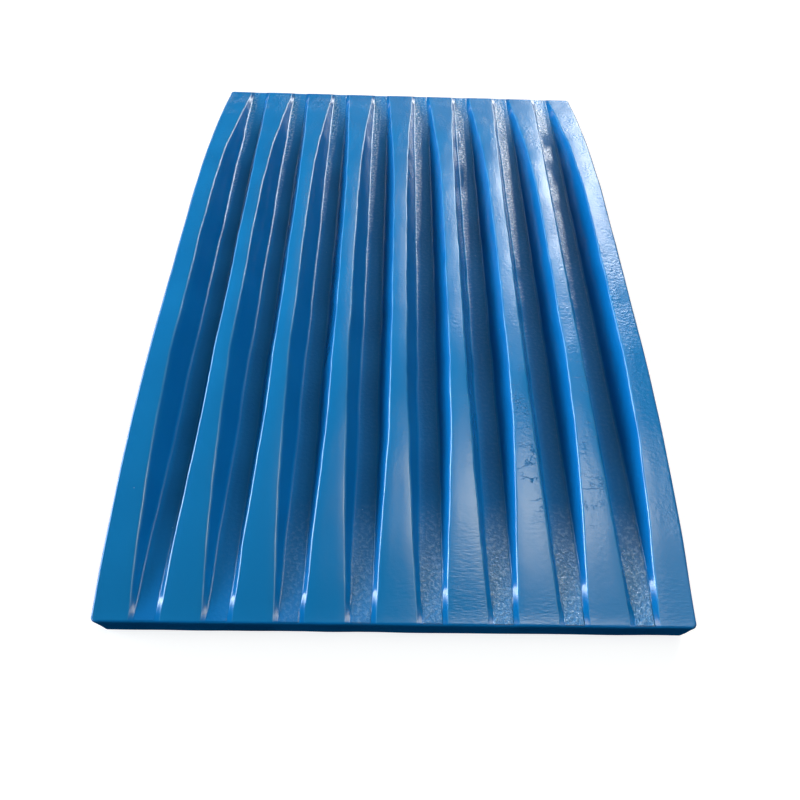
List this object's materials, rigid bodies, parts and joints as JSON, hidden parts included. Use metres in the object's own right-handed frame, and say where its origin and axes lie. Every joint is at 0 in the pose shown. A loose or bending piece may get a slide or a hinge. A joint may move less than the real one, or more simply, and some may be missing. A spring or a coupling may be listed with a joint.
{
  "type": "crusher jaw plate",
  "caption": "Cast steel jaw plate for a stone crusher: a flat slab with straight teeth whose crests bow down to both ends, painted blue, with a relieved seating back.",
  "frame": {"origin": "centre of the flat back face, on which the plate lies", "axes": "+X across the teeth, +Y along the teeth, +Z out of the toothed face"},
  "size_m": [0.6, 0.9, 0.072],
  "materials": {
    "blue_paint": "semi-gloss blue paint brushed over a sand-cast surface"
  },
  "bodies": {
    "root": {"jaw_plate": "blue_paint"}
  },
  "joints": []
}
